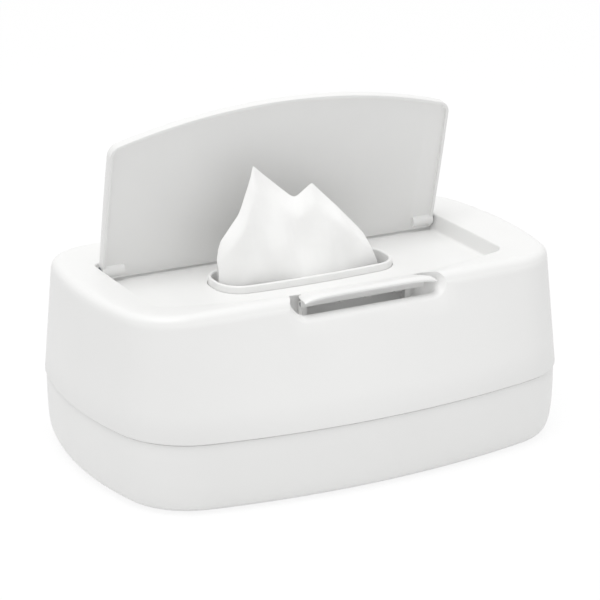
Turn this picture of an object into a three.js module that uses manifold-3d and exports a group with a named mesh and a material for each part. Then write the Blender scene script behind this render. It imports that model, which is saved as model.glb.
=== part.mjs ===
// Wipes box: a lower tray, a lift-off upper shell with a hinged lid, a press paddle and a dispensing collar.
// Millimetres, +Z up, +Y to the back. The origin is the middle of the footprint, on the resting surface.
import * as THREE from "three";
import { mergeVertices } from "three/addons/utils/BufferGeometryUtils.js";
import Module from "manifold-3d";

const wasm = await Module();
wasm.setup();

// Outline at the seam, where the box is widest
const seamHalfLength = 120;
const seamHalfDepth = 81.9;
const seamSideRadius = 415;
const seamEndRadius = 182;
const seamCornerRadius = 39;

// Outline of the upper edge
const topHalfLength = 115.3;
const topHalfDepth = 61.5;
const topSideRadius = 3000;
const topEndRadius = 184;
const topCornerRadius = 26;

// Heights
const footHeight = 1;
const seamHeight = 35.3;
const topHeight = 91.5;
const shoulderDrop = 2.7;
const recessDepth = 8.2;

// Walls and running gaps
const shellWall = 2.2;
const trayWall = 2.4;
const seamGap = 0.4;
const seamStep = 0.7;
const lipHeight = 5;
const lipThickness = 1.6;
const lipGap = 0.6;
const restGap = 0.3;
const pinGap = 0.08;
const cutReach = 4;

// Rounding
const topEdgeRadius = 4;
const bottomInset = 8.6;
const bottomPower = 3.7;

// Recess for the lid, as distances from the middle of the box
const recessHalfLength = 92;
const recessFrontDepth = 48.9;
const recessRearDepth = 37.6;
const recessFrontRadius = 304;
const recessRearRadius = 4000;
const recessEndRadius = 2600;
const recessFrontCorner = 8;
const recessRearCorner = 4;
const recessDraft = 0.8;

// Lid
const lidGap = 1.5;
const lidDepth = 4.8;
const lidSkin = 1.8;
const lidRim = 1.7;
const lidOpenAngle = 77.2;
const hingeFromRear = 6.2;
const notchLength = 9.5;
const notchWidth = 3.6;
const bossRadius = 2.35;
const bossLength = 6;
const hingePinRadius = 1.2;

// Springs
const wireDiameter = 0.7;
const springClearance = 0.25;
const lidSpringTurns = 3.25;
const lidSpringLeg = 3.5;
const paddleSpringTurns = 5.5;
const paddleSpringLeg = 5;

// Scoop under the paddle
const scoopRearHalfWidth = 28;
const scoopFrontHalfWidth = 44;
const scoopRearInset = 0.6;
const scoopFloorHeight = 83;
const scoopWall = 2;
const scoopSideCurve = 6;
const scoopCorner = 7;
const lipRadius = 4;

// Press paddle
const paddleRearHalfWidth = 25.5;
const paddleFrontHalfWidth = 35.5;
const paddleRearGap = 1.2;
const paddleOverhang = 2;
const paddleThickness = 2.2;
const paddleRise = 0.6;
const paddleNoseStart = 0.85;
const paddleBarrelRadius = 2.1;
const paddlePinRadius = 1;
const paddlePinInset = 4;
const paddlePinHeight = 85.5;
const paddleSpringGap = 4.6;
const earThickness = 2.5;
const earRadius = 1.7;

// Dispensing collar
const collarHalfLength = 45;
const collarHalfDepth = 15;
const collarSideRadius = 400;
const collarEndRadius = 60;
const collarCornerRadius = 11;
const collarWall = 1.8;
const collarRise = 3.6;
const collarFlange = 2.4;
const collarFlangeThickness = 1.2;

// Feet
const footRadius = 8;
const footFromEnd = 34;
const footFromSide = 34;

// Folded wipes and the one pulled up through the collar
const stackHalfLength = 95;
const stackHalfDepth = 52;
const stackHeight = 50;
const stackCorner = 7;
const wipeNeckHalfLength = 27;
const wipeFanHalfLength = 41;
const wipeNeckThickness = 5;
const wipeEdgeThickness = 1.6;
const wipeFirstPeak = 136;
const wipeFirstPeakX = -24.7;
const wipeSecondPeak = 124;
const wipeSecondPeakX = 4.8;
const wipeSteepSlope = 3.4;
const wipeSoftSlope = 0.9;
const wipeShoulder = 92;
const wipeFoldCount = 8.5;
const wipeFoldLean = 2.2;
const wipeRippleDepth = 3.2;

// Mesh detail
const sideSteps = 5;
const cornerSteps = 5;
const endSteps = 2;
const roundSteps = 16;
const wireSides = 3;

// Worked-out places
const shoulderHeight = topHeight - shoulderDrop;
const floorHeight = shoulderHeight - recessDepth;
const lidRearDepth = recessRearDepth - lidGap;
const lidHalfLength = recessHalfLength - lidGap;
const hingeY = lidRearDepth - hingeFromRear + lidGap;
const hingeZ = shoulderHeight - lidDepth / 2;
const paddleRearY = -(recessFrontDepth - lidGap + paddleRearGap);
const paddleFrontY = -(topHalfDepth + paddleOverhang);
const paddlePinY = paddleRearY - paddlePinInset;
const trayFloor = footHeight + trayWall;
const stackBottom = trayFloor + restGap;
const stackTop = stackBottom + stackHeight;

const seamShape = {
  halfLength: seamHalfLength,
  front: { depth: seamHalfDepth, radius: seamSideRadius, corner: seamCornerRadius },
  rear: { depth: seamHalfDepth, radius: seamSideRadius, corner: seamCornerRadius },
  endRadius: seamEndRadius,
};
const topShape = {
  halfLength: topHalfLength,
  front: { depth: topHalfDepth, radius: topSideRadius, corner: topCornerRadius },
  rear: { depth: topHalfDepth, radius: topSideRadius, corner: topCornerRadius },
  endRadius: topEndRadius,
};
const recessShape = {
  halfLength: recessHalfLength,
  front: { depth: recessFrontDepth, radius: recessFrontRadius, corner: recessFrontCorner },
  rear: { depth: recessRearDepth, radius: recessRearRadius, corner: recessRearCorner },
  endRadius: recessEndRadius,
};
const collarShape = {
  halfLength: collarHalfLength,
  front: { depth: collarHalfDepth, radius: collarSideRadius, corner: collarCornerRadius },
  rear: { depth: collarHalfDepth, radius: collarSideRadius, corner: collarCornerRadius },
  endRadius: collarEndRadius,
};

// Moves every side of a bowed outline outwards by the same distance.
function grown(shape, distance) {
  const side = (s) => ({
    depth: s.depth + distance,
    radius: s.radius + distance,
    corner: Math.max(s.corner + distance, 0.5),
  });
  return {
    halfLength: shape.halfLength + distance,
    front: side(shape.front),
    rear: side(shape.rear),
    endRadius: shape.endRadius + distance,
  };
}

// Points of an arc, without the last one.
function arcPoints(centre, radius, from, to, steps) {
  const points = [];
  for (let i = 0; i < steps; i++) {
    const angle = from + ((to - from) * i) / steps;
    points.push(
      new THREE.Vector2(
        centre.x + radius * Math.cos(angle),
        centre.y + radius * Math.sin(angle),
      ),
    );
  }
  return points;
}

// A quarter of the outline from the middle of the front side to the middle of the right end:
// a shallow side arc and a shallow end arc, joined by a corner arc that is tangent to both.
function quarterOutline(halfLength, side, endRadius) {
  const sideCentre = new THREE.Vector2(0, side.radius - side.depth);
  const endCentre = new THREE.Vector2(halfLength - endRadius, 0);
  const sideReach = side.radius - side.corner;
  const endReach = endRadius - side.corner;
  const between = endCentre.clone().sub(sideCentre);
  const distance = between.length();
  const along =
    (sideReach * sideReach - endReach * endReach + distance * distance) / (2 * distance);
  const across = Math.sqrt(sideReach * sideReach - along * along);
  between.divideScalar(distance);
  const corner = sideCentre
    .clone()
    .addScaledVector(between, along)
    .addScaledVector(new THREE.Vector2(-between.y, between.x), across);
  const sideEnd = corner.clone().sub(sideCentre).angle() - 2 * Math.PI;
  const endStart = corner.clone().sub(endCentre).angle() - 2 * Math.PI;
  return [
    ...arcPoints(sideCentre, side.radius, -Math.PI / 2, sideEnd, sideSteps),
    ...arcPoints(corner, side.corner, sideEnd, endStart, cornerSteps),
    ...arcPoints(endCentre, endRadius, endStart, 0, endSteps),
    new THREE.Vector2(halfLength, 0),
  ];
}

// The whole outline, anticlockwise from the middle of the front side.
function bowedOutline(shape) {
  const front = quarterOutline(shape.halfLength, shape.front, shape.endRadius);
  const rear = quarterOutline(shape.halfLength, shape.rear, shape.endRadius);
  const right = [
    ...front,
    ...rear
      .slice(0, -1)
      .reverse()
      .map((p) => new THREE.Vector2(p.x, -p.y)),
  ];
  const left = right
    .slice(1, -1)
    .reverse()
    .map((p) => new THREE.Vector2(-p.x, p.y));
  return [...right, ...left];
}

// A level ring at height z.
function ringAt(outline, z) {
  return outline.map((p) => new THREE.Vector3(p.x, p.y, z));
}

// The outline part of the way from one outline to another with as many points.
function blended(from, to, share) {
  return from.map((p, i) => p.clone().lerp(to[i], share));
}

// A closed surface through rings of equally many points. The ends are capped, or joined to each other.
function loft(rings, joined = false) {
  const count = rings[0].length;
  const positions = [];
  const index = [];
  for (const ring of rings) for (const p of ring) positions.push(p.x, p.y, p.z);
  const spans = joined ? rings.length : rings.length - 1;
  for (let r = 0; r < spans; r++) {
    const a = r * count;
    const b = ((r + 1) % rings.length) * count;
    for (let i = 0; i < count; i++) {
      const j = (i + 1) % count;
      index.push(a + i, a + j, b + j);
      index.push(a + i, b + j, b + i);
    }
  }
  if (!joined) {
    addCap(positions, index, rings[0], 0, true);
    addCap(positions, index, rings[rings.length - 1], (rings.length - 1) * count, false);
  }
  const geometry = new THREE.BufferGeometry();
  geometry.setAttribute("position", new THREE.Float32BufferAttribute(positions, 3));
  geometry.setIndex(index);
  return geometry;
}

function addCap(positions, index, ring, first, reversed) {
  const centre = ring
    .reduce((sum, p) => sum.add(p), new THREE.Vector3())
    .divideScalar(ring.length);
  const hub = positions.length / 3;
  positions.push(centre.x, centre.y, centre.z);
  for (let i = 0; i < ring.length; i++) {
    const j = (i + 1) % ring.length;
    if (reversed) index.push(hub, first + j, first + i);
    else index.push(hub, first + i, first + j);
  }
}

// Solid arithmetic
function toSolid(geometry) {
  const bare = new THREE.BufferGeometry();
  bare.setAttribute("position", geometry.getAttribute("position"));
  if (geometry.index) bare.setIndex(geometry.index);
  const merged = mergeVertices(bare, 1e-4);
  return new wasm.Manifold(
    new wasm.Mesh({
      numProp: 3,
      vertProperties: merged.attributes.position.array,
      triVerts: new Uint32Array(merged.index.array),
    }),
  );
}

function toGeometry(solid) {
  const mesh = solid.getMesh();
  const geometry = new THREE.BufferGeometry();
  geometry.setAttribute("position", new THREE.BufferAttribute(mesh.vertProperties, 3));
  geometry.setIndex(new THREE.BufferAttribute(mesh.triVerts, 1));
  return geometry;
}

function boxBetween(low, high) {
  const size = high.map((v, i) => v - low[i]);
  const box = new THREE.BoxGeometry(...size);
  box.translate(...low.map((v, i) => v + size[i] / 2));
  return box;
}

// The two ends of a span, lowest first.
function inOrder(one, other) {
  return [Math.min(one, other), Math.max(one, other)];
}

// A round bar along X between two ends.
function barAlongX(radius, fromX, toX, y, z) {
  const bar = new THREE.CylinderGeometry(radius, radius, toX - fromX, roundSteps);
  bar.rotateZ(Math.PI / 2);
  bar.translate((fromX + toX) / 2, y, z);
  return bar;
}

// A round wire along a curve.
function wireAlong(curve, steps) {
  const section = new THREE.Shape();
  section.absarc(0, 0, wireDiameter / 2, 0, 2 * Math.PI);
  return new THREE.ExtrudeGeometry(section, {
    steps,
    extrudePath: curve,
    curveSegments: wireSides,
    bevelEnabled: false,
  });
}

// A torsion spring whose axis lies along X, with one straight leg at each end.
class TorsionSpringCurve extends THREE.Curve {
  constructor(radius, turns, length, startAngle, legs) {
    super();
    this.radius = radius;
    this.turns = turns;
    this.coilLength = length;
    this.startAngle = startAngle;
    this.legs = legs;
  }

  getPoint(t, target = new THREE.Vector3()) {
    const coil = 2 * Math.PI * this.radius * this.turns;
    const total = coil + this.legs[0] + this.legs[1];
    const travelled = t * total;
    const onCoil = THREE.MathUtils.clamp(travelled - this.legs[0], 0, coil);
    const angle = this.startAngle + (onCoil / coil) * this.turns * 2 * Math.PI;
    const offLeg = travelled - this.legs[0] - onCoil;
    const y = Math.cos(angle) * this.radius - Math.sin(angle) * offLeg;
    const z = Math.sin(angle) * this.radius + Math.cos(angle) * offLeg;
    return target.set((onCoil / coil - 0.5) * this.coilLength, y, z);
  }
}

function makeMesh(name, geometry, material) {
  const mesh = new THREE.Mesh(geometry, material);
  mesh.name = name;
  return mesh;
}

const plastic = (color) =>
  new THREE.MeshStandardMaterial({ color, roughness: 0.42, metalness: 0 });
const bodyWhite = plastic(0xececea);
const lidWhite = plastic(0xebebe9);
const paddleWhite = plastic(0xededeb);
const collarWhite = plastic(0xefefed);
const steel = new THREE.MeshStandardMaterial({ color: 0xb9bcc0, roughness: 0.3, metalness: 1 });
const rubber = new THREE.MeshStandardMaterial({ color: 0xd9d9d6, roughness: 0.8, metalness: 0 });
const cloth = new THREE.MeshStandardMaterial({ color: 0xf7f7f5, roughness: 0.95, metalness: 0 });

// Lower tray: a rounded bottom, an open top and a lip that locates the upper shell.
function trayGeometry() {
  const outer = [];
  const profileSteps = 7;
  for (let i = 0; i <= profileSteps; i++) {
    const down = 1 - i / profileSteps;
    const curve = 1 - (1 - down ** bottomPower) ** (1 / bottomPower);
    const inset = seamStep + bottomInset * curve;
    const z = footHeight + (seamHeight - seamGap - footHeight) * (1 - down);
    outer.push(ringAt(bowedOutline(grown(seamShape, -inset)), z));
  }
  const rim = seamHeight - seamGap;
  const lipOut = shellWall + lipGap;
  const lipIn = lipOut + lipThickness;
  const wallIn = (inset) => bowedOutline(grown(seamShape, -inset));
  const inner = [
    ringAt(wallOutline(lipOut, rim), rim),
    ringAt(wallOutline(lipOut, rim + lipHeight), rim + lipHeight),
    ringAt(wallOutline(lipIn, rim + lipHeight), rim + lipHeight),
    ringAt(wallIn(lipIn), rim - lipHeight),
    ringAt(wallIn(lipIn + 0.1 * bottomInset), trayFloor + 0.4 * seamHeight),
    ringAt(wallIn(lipIn + 0.45 * bottomInset), trayFloor + 0.08 * seamHeight),
    ringAt(wallIn(lipIn + bottomInset), trayFloor),
  ];
  return loft([...outer, ...inner]);
}

// The shell's side at height z, moved inwards.
function wallOutline(inset, z) {
  const share = (z - seamHeight) / (topHeight - seamHeight);
  const seam = bowedOutline(grown(seamShape, -inset));
  const top = bowedOutline(grown(topShape, -inset));
  return blended(seam, top, share);
}

// The outside of the upper shell, with the lid's recess in its top.
function shellOutside() {
  const rings = [ringAt(bowedOutline(seamShape), seamHeight)];
  for (const degrees of [0, 30, 60, 90]) {
    const angle = THREE.MathUtils.degToRad(degrees);
    const inset = topEdgeRadius * (1 - Math.cos(angle));
    const z = topHeight - topEdgeRadius * (1 - Math.sin(angle));
    rings.push(ringAt(bowedOutline(grown(topShape, -inset)), z));
  }
  rings.push(ringAt(bowedOutline(recessShape), shoulderHeight));
  rings.push(ringAt(bowedOutline(grown(recessShape, -recessDraft)), floorHeight));
  return toSolid(loft(rings));
}

// The hollow inside the upper shell, one wall in from its outside.
function shellInside() {
  const under = bowedOutline(grown(recessShape, shellWall));
  const upper = topHeight - shellWall - topEdgeRadius / 2;
  return toSolid(
    loft([
      ringAt(wallOutline(shellWall, seamHeight - 1), seamHeight - 1),
      ringAt(wallOutline(shellWall, upper), upper),
      ringAt(wallOutline(shellWall + topEdgeRadius / 2, topHeight), topHeight - shellWall),
      ringAt(under, shoulderHeight - shellWall),
      ringAt(under, floorHeight - shellWall),
    ]),
  );
}

// Plan of the finger scoop, wider at the front, reaching past the front face.
function scoopPlan(extra) {
  const rear = -(recessFrontDepth - scoopRearInset) + extra;
  const front = -(seamHalfDepth + cutReach);
  const half = scoopRearHalfWidth + extra;
  const mouth = scoopFrontHalfWidth + extra;
  const plan = new THREE.Shape();
  plan.moveTo(-mouth, front);
  plan.lineTo(-mouth, -topHalfDepth);
  const bendFront = -topHalfDepth + scoopSideCurve;
  const bendRear = half + scoopSideCurve;
  plan.bezierCurveTo(-mouth, bendFront, -bendRear, rear, -half, rear);
  plan.lineTo(half, rear);
  plan.bezierCurveTo(bendRear, rear, mouth, bendFront, mouth, -topHalfDepth);
  plan.lineTo(mouth, front);
  plan.closePath();
  return plan;
}

function scoopPrism(extra, bottom, top) {
  const prism = new THREE.ExtrudeGeometry(scoopPlan(extra), {
    depth: top - bottom,
    bevelEnabled: false,
    curveSegments: 8,
  });
  prism.translate(0, 0, bottom);
  return toSolid(prism);
}

// The rounded lip where the scoop meets the front face: the mouth grows along a quarter circle.
function scoopMouth() {
  const rings = [];
  const stations = [0, 30, 60, 90];
  const mouthRing = (extra, y) => {
    const half = scoopFrontHalfWidth + extra;
    const bottom = scoopFloorHeight - extra;
    const corner = scoopCorner + extra;
    const mouth = new THREE.Shape();
    mouth.moveTo(-half, topHeight + cutReach);
    mouth.lineTo(-half, bottom + corner);
    mouth.absarc(-half + corner, bottom + corner, corner, Math.PI, 1.5 * Math.PI);
    mouth.lineTo(half - corner, bottom);
    mouth.absarc(half - corner, bottom + corner, corner, 1.5 * Math.PI, 2 * Math.PI);
    mouth.lineTo(half, topHeight + cutReach);
    return mouth.extractPoints(5).shape.map((p) => new THREE.Vector3(p.x, y, p.y));
  };
  const start = -(topHalfDepth - 1);
  for (const degrees of stations) {
    const angle = THREE.MathUtils.degToRad(degrees);
    rings.push(mouthRing(lipRadius * (1 - Math.cos(angle)), start - lipRadius * Math.sin(angle)));
  }
  rings.push(mouthRing(lipRadius, -(seamHalfDepth + cutReach)));
  return toSolid(loft(rings));
}

// A lug on the scoop's floor that holds one end of the paddle pin.
function pinEar(side) {
  const near = paddleRearHalfWidth + restGap;
  const ends = inOrder(side * near, side * (near + earThickness));
  const low = [ends[0], paddlePinY - earRadius, scoopFloorHeight - scoopWall / 2];
  const high = [ends[1], paddlePinY + earRadius, paddlePinHeight];
  const ear = toSolid(boxBetween(low, high));
  return ear.add(toSolid(barAlongX(earRadius, ...ends, paddlePinY, paddlePinHeight)));
}

function topShellGeometry() {
  const outside = shellOutside();
  const hull = outside.subtract(shellInside());
  const tub = scoopPrism(scoopWall, scoopFloorHeight - scoopWall, topHeight).intersect(outside);
  let shell = hull.add(tub);
  shell = shell.subtract(scoopPrism(0, scoopFloorHeight, topHeight + cutReach));
  shell = shell.subtract(scoopMouth());
  for (const side of [-1, 1]) shell = shell.add(pinEar(side));
  const aperture = grown(collarShape, collarWall + restGap);
  const hole = loft([
    ringAt(bowedOutline(aperture), floorHeight - 2 * shellWall),
    ringAt(bowedOutline(aperture), floorHeight + shellWall),
  ]);
  shell = shell.subtract(toSolid(hole));
  for (const side of [-1, 1]) {
    const ends = inOrder(side * (recessHalfLength - cutReach), side * (recessHalfLength + shellWall + cutReach));
    shell = shell.subtract(toSolid(barAlongX(hingePinRadius + pinGap, ...ends, hingeY, hingeZ)));
  }
  const reach = scoopFrontHalfWidth;
  const pinHole = barAlongX(paddlePinRadius + pinGap, -reach, reach, paddlePinY, paddlePinHeight);
  return toGeometry(shell.subtract(toSolid(pinHole)));
}

// Lid in its closed place: a skin with a rim around it, notched at the rear corners for the hinge.
function lidGeometry() {
  const outline = grown(recessShape, -lidGap);
  outline.rear.depth = lidRearDepth;
  const inner = grown(outline, -lidRim);
  const bottom = shoulderHeight - lidDepth;
  const outer = toSolid(
    loft([
      ringAt(bowedOutline(outline), bottom),
      ringAt(bowedOutline(outline), shoulderHeight - 1.2),
      ringAt(bowedOutline(grown(outline, -0.35)), shoulderHeight - 0.35),
      ringAt(bowedOutline(grown(outline, -1.2)), shoulderHeight),
    ]),
  );
  const hollow = toSolid(
    loft([
      ringAt(bowedOutline(inner), bottom - 1),
      ringAt(bowedOutline(inner), shoulderHeight - lidSkin - 1),
      ringAt(bowedOutline(grown(inner, -0.3)), shoulderHeight - lidSkin - 0.3),
      ringAt(bowedOutline(grown(inner, -1)), shoulderHeight - lidSkin),
    ]),
  );
  const notchFrom = lidHalfLength - notchWidth;
  const notch = (side, wall) => {
    const near = side * (notchFrom - wall);
    const far = side * (lidHalfLength + cutReach);
    const low = [Math.min(near, far), lidRearDepth - notchLength - wall, bottom - cutReach];
    const high = [Math.max(near, far), lidRearDepth + cutReach, shoulderHeight + cutReach];
    return toSolid(boxBetween(low, high));
  };
  let shell = outer;
  let space = hollow;
  for (const side of [-1, 1]) {
    shell = shell.subtract(notch(side, 0));
    space = space.subtract(notch(side, lidRim));
  }
  let lid = shell.subtract(space);
  for (const side of [-1, 1]) {
    const ends = inOrder(side * (notchFrom - bossLength), side * notchFrom);
    const boss = toSolid(barAlongX(bossRadius, ...ends, hingeY, hingeZ));
    const bore = inOrder(side * (notchFrom - bossLength - cutReach), side * (notchFrom + 1));
    lid = lid.add(boss);
    lid = lid.subtract(toSolid(barAlongX(hingePinRadius + pinGap, ...bore, hingeY, hingeZ)));
  }
  return toGeometry(lid);
}

// Press paddle: a plate that widens to the front, with two barrels on its pin.
function paddleGeometry() {
  const depth = paddleRearY - paddleFrontY;
  const stations = [0, 0.08, 0.35, 0.65, 0.88, 0.97, 1];
  const rings = stations.map((share) => {
    const y = paddleRearY - depth * share;
    const widening = Math.sin((share * Math.PI) / 2);
    const half = THREE.MathUtils.lerp(paddleRearHalfWidth, paddleFrontHalfWidth, widening);
    const nose = share > paddleNoseStart ? (share - paddleNoseStart) / (1 - paddleNoseStart) : 0;
    const crown = shoulderHeight + paddleRise + (topHeight - shoulderHeight) * share;
    const top = crown - nose * nose * paddleThickness * 0.55;
    const bottom = crown - paddleThickness + nose * paddleThickness * 0.15;
    const corner = (top - bottom) * 0.3;
    const section = [];
    section.push([-half, bottom + corner], [-half, top - corner], [-half + corner, top]);
    section.push([half - corner, top], [half, top - corner], [half, bottom + corner]);
    section.push([half - corner, bottom], [-half + corner, bottom]);
    return section.map(([x, z]) => new THREE.Vector3(x, y, z)).reverse();
  });
  let paddle = toSolid(loft(rings));
  const reach = paddleRearHalfWidth - 1;
  for (const side of [-1, 1]) {
    const ends = inOrder(side * paddleSpringGap, side * reach);
    paddle = paddle.add(toSolid(barAlongX(paddleBarrelRadius, ...ends, paddlePinY, paddlePinHeight)));
    const low = [ends[0], paddlePinY - paddleBarrelRadius, paddlePinHeight];
    const high = [ends[1], paddlePinY + paddleBarrelRadius, shoulderHeight + paddleRise - 0.5];
    paddle = paddle.add(toSolid(boxBetween(low, high)));
  }
  const bore = barAlongX(paddlePinRadius + pinGap, -reach - cutReach, reach + cutReach, paddlePinY, paddlePinHeight);
  return toGeometry(paddle.subtract(toSolid(bore)));
}

// Dispensing collar: a thin raised rim through the floor, held by a flange under it.
function collarGeometry() {
  const under = floorHeight - shellWall - restGap;
  const top = floorHeight + collarRise;
  const section = [
    [0, under - collarFlangeThickness],
    [collarWall + collarFlange, under - collarFlangeThickness],
    [collarWall + collarFlange, under],
    [collarWall, under],
    [collarWall, top - 0.7],
    [collarWall * 0.7, top],
    [collarWall * 0.3, top],
    [0, top - 0.7],
  ];
  const rings = section.map(([out, z]) => ringAt(bowedOutline(grown(collarShape, out)), z));
  return loft(rings, true);
}

// Four round pads under the tray.
function addFeet(group) {
  const spots = [
    ["front_left", -1, -1],
    ["front_right", 1, -1],
    ["rear_left", -1, 1],
    ["rear_right", 1, 1],
  ];
  for (const [place, alongX, alongY] of spots) {
    const pad = new THREE.CylinderGeometry(footRadius, footRadius - 0.4, footHeight, roundSteps);
    pad.rotateX(Math.PI / 2);
    const foot = makeMesh("foot_" + place, pad, rubber);
    const x = alongX * (seamHalfLength - footFromEnd);
    const y = alongY * (seamHalfDepth - footFromSide);
    foot.position.set(x, y, footHeight / 2);
    group.add(foot);
  }
}

// The pile of folded wipes: a block with rounded upright corners and soft upper edges.
function stackGeometry() {
  const outline = (inset) => {
    const block = new THREE.Shape();
    const x = stackHalfLength - inset;
    const y = stackHalfDepth - inset;
    const r = stackCorner - inset;
    block.absarc(x - r, -y + r, r, -Math.PI / 2, 0);
    block.absarc(x - r, y - r, r, 0, Math.PI / 2);
    block.absarc(-x + r, y - r, r, Math.PI / 2, Math.PI);
    block.absarc(-x + r, -y + r, r, Math.PI, 1.5 * Math.PI);
    return block.extractPoints(5).shape;
  };
  return loft([
    ringAt(outline(2), stackBottom),
    ringAt(outline(0), stackBottom + 2),
    ringAt(outline(0), stackTop - 3),
    ringAt(outline(1), stackTop - 1),
    ringAt(outline(3), stackTop),
  ]);
}

// Height of the pulled-up wipe's upper edge: two peaks with a valley between them.
function wipeCrest(x) {
  const fromFirst = x - wipeFirstPeakX;
  const first = wipeFirstPeak - (fromFirst < 0 ? -wipeSteepSlope : wipeSoftSlope) * fromFirst;
  const second = wipeSecondPeak - wipeSoftSlope * Math.abs(x - wipeSecondPeakX);
  return Math.max(first, second, wipeShoulder);
}

// The wipe pulled up through the collar: a pleated fan that stands on the pile.
function raisedWipeGeometry() {
  const across = 22;
  const up = 10;
  const low = stackTop + restGap;
  const collarTop = floorHeight + collarRise;
  const rings = [];
  for (let k = 0; k <= up; k++) {
    const share = k / up;
    const front = [];
    const back = [];
    for (let i = 0; i <= across; i++) {
      const u = (2 * i) / across - 1;
      const spread = THREE.MathUtils.smoothstep(share, 0.25, 0.55);
      const half = THREE.MathUtils.lerp(wipeNeckHalfLength, wipeFanHalfLength, spread);
      const x = half * u;
      const crest = wipeCrest(x);
      const z = low + (crest - low) * share;
      const free = THREE.MathUtils.smoothstep(z, collarTop - 8, collarTop + 14);
      const ripple = wipeRippleDepth * free * Math.sin(u * wipeFoldCount + share * wipeFoldLean);
      const bulge = THREE.MathUtils.lerp(wipeNeckThickness, wipeEdgeThickness, share * share);
      const thickness = bulge * Math.sqrt(Math.max(1 - 0.85 * u * u, 0.04));
      front.push(new THREE.Vector3(x, ripple - thickness, z));
      back.push(new THREE.Vector3(x, ripple + thickness, z));
    }
    rings.push([...front, ...back.reverse()]);
  }
  return slabLoft(rings, across + 1);
}

// Like loft, with each end closed by a strip between the front row and the back row.
function slabLoft(rings, half) {
  const geometry = loft(rings, true);
  const count = rings[0].length;
  const index = Array.from(geometry.index.array).slice(0, (rings.length - 1) * count * 6);
  const last = (rings.length - 1) * count;
  for (let i = 0; i < half - 1; i++) {
    const opposite = count - 1 - i;
    index.push(i, opposite, i + 1);
    index.push(i + 1, opposite, opposite - 1);
    index.push(last + i, last + i + 1, last + opposite);
    index.push(last + i + 1, last + opposite - 1, last + opposite);
  }
  geometry.setIndex(index);
  return geometry;
}

// Base: everything that stays on the table.
const base = new THREE.Group();
base.add(makeMesh("base_tray", trayGeometry(), bodyWhite));
addFeet(base);
base.add(makeMesh("wipe_stack", stackGeometry(), cloth));
base.add(makeMesh("raised_wipe", raisedWipeGeometry(), cloth));

// Upper shell and what it carries.
const upper = new THREE.Group();
upper.add(makeMesh("top_shell", topShellGeometry(), bodyWhite));
upper.add(makeMesh("dispensing_collar", collarGeometry(), collarWhite));
const pinReach = paddleRearHalfWidth + restGap + earThickness;
const paddlePin = barAlongX(paddlePinRadius, -pinReach, pinReach, paddlePinY, paddlePinHeight);
upper.add(makeMesh("paddle_pin", paddlePin, steel));

function lidSpring(side) {
  const radius = hingePinRadius + springClearance + wireDiameter / 2;
  const gapFrom = lidHalfLength - notchWidth;
  const gapTo = recessHalfLength - recessDraft;
  const room = gapTo - gapFrom - wireDiameter - 2 * restGap;
  const legs = [lidSpringLeg, lidSpringLeg];
  const curve = new TorsionSpringCurve(radius, lidSpringTurns, room, -Math.PI / 2, legs);
  const mesh = makeMesh(side < 0 ? "lid_spring_left" : "lid_spring_right", wireAlong(curve, 42), steel);
  mesh.position.set((side * (gapFrom + gapTo)) / 2, hingeY, hingeZ);
  return mesh;
}

function paddleSpring() {
  const radius = paddlePinRadius + springClearance + wireDiameter / 2;
  const room = 2 * paddleSpringGap - wireDiameter - 2 * restGap;
  const legs = [paddleSpringLeg, paddleSpringLeg];
  const curve = new TorsionSpringCurve(radius, paddleSpringTurns, room, -Math.PI / 2, legs);
  const mesh = makeMesh("paddle_spring", wireAlong(curve, 64), steel);
  mesh.position.set(0, paddlePinY, paddlePinHeight);
  return mesh;
}

upper.add(lidSpring(-1), lidSpring(1), paddleSpring());

// Lid assembly, swung open about the hinge line.
const lidGroup = new THREE.Group();
lidGroup.position.set(0, hingeY, hingeZ);
lidGroup.rotation.x = -THREE.MathUtils.degToRad(lidOpenAngle);
const closedLid = new THREE.Group();
closedLid.position.set(0, -hingeY, -hingeZ);
closedLid.add(makeMesh("lid", lidGeometry(), lidWhite));
for (const side of [-1, 1]) {
  const from = side * (lidHalfLength - notchWidth - bossLength);
  const to = side * (recessHalfLength + shellWall - 0.2);
  const pin = barAlongX(hingePinRadius, Math.min(from, to), Math.max(from, to), hingeY, hingeZ);
  closedLid.add(makeMesh(side < 0 ? "lid_pin_left" : "lid_pin_right", pin, steel));
}
lidGroup.add(closedLid);

const paddle = makeMesh("press_paddle", paddleGeometry(), paddleWhite);

const wipesBox = new THREE.Group();
wipesBox.add(base, upper, lidGroup, paddle);

export default wipesBox;
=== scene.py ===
import math

import bpy
from mathutils import Matrix, Vector


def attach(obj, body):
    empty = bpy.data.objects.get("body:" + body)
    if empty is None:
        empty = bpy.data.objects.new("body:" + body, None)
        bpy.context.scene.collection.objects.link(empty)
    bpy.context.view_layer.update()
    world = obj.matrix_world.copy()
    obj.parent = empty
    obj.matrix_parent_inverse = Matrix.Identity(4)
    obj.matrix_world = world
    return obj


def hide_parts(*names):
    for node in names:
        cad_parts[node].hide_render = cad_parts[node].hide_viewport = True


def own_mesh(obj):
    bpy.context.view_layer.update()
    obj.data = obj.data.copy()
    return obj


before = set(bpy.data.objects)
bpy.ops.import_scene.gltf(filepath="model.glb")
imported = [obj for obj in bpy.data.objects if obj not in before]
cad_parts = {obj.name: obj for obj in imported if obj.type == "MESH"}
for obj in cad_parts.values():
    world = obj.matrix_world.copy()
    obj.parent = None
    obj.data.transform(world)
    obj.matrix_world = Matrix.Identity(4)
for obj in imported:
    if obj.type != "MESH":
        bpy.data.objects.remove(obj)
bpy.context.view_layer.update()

mm = 0.001
print("frame loaded,", len(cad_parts), "nodes")


def clearSelection():
    if bpy.context.object and bpy.context.object.mode != "OBJECT":
        bpy.ops.object.mode_set(mode="OBJECT")
    bpy.ops.object.select_all(action="DESELECT")


def pickOnly(piece):
    clearSelection()
    piece.select_set(True)
    bpy.context.view_layer.objects.active = piece


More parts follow.
